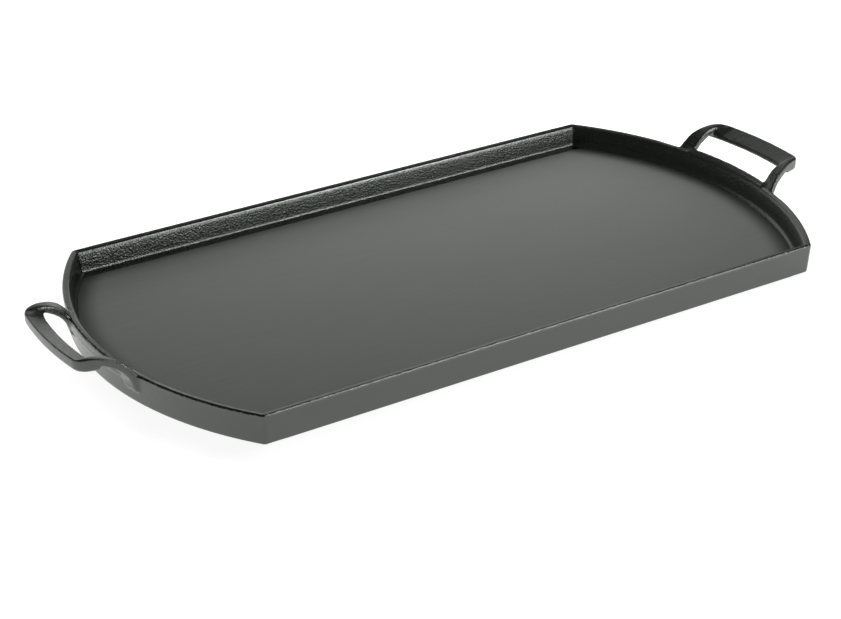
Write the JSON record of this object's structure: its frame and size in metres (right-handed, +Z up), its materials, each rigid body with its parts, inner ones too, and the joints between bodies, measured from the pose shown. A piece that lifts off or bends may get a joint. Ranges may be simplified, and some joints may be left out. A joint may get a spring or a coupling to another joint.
{
  "type": "griddle plate",
  "caption": "Long cast-iron griddle plate with a flat cooking floor, a low upright wall, bowed ends and a raised loop handle at each end.",
  "frame": {"origin": "middle of the flat underside, on the stove's surface", "axes": "+X along the plate towards its right handle, +Y across it towards its back side, +Z up"},
  "size_m": [0.5466, 0.26, 0.0344],
  "materials": {
    "cast_floor": "smooth machined cast iron with a dry grey seasoning, satin",
    "cast_wall": "fine pebbled sand-cast skin with a dark grey seasoning, satin on its edges",
    "cast_handle": "fine pebbled sand-cast skin with a dark grey seasoning, rubbed smoother on top"
  },
  "bodies": {
    "root": {"cooking_floor": "cast_floor", "front_wall": "cast_wall", "back_wall": "cast_wall", "left_end_wall": "cast_wall", "right_end_wall": "cast_wall", "left_front_arm": "cast_handle", "left_back_arm": "cast_handle", "left_grip": "cast_handle", "right_front_arm": "cast_handle", "right_back_arm": "cast_handle", "right_grip": "cast_handle"}
  },
  "joints": []
}
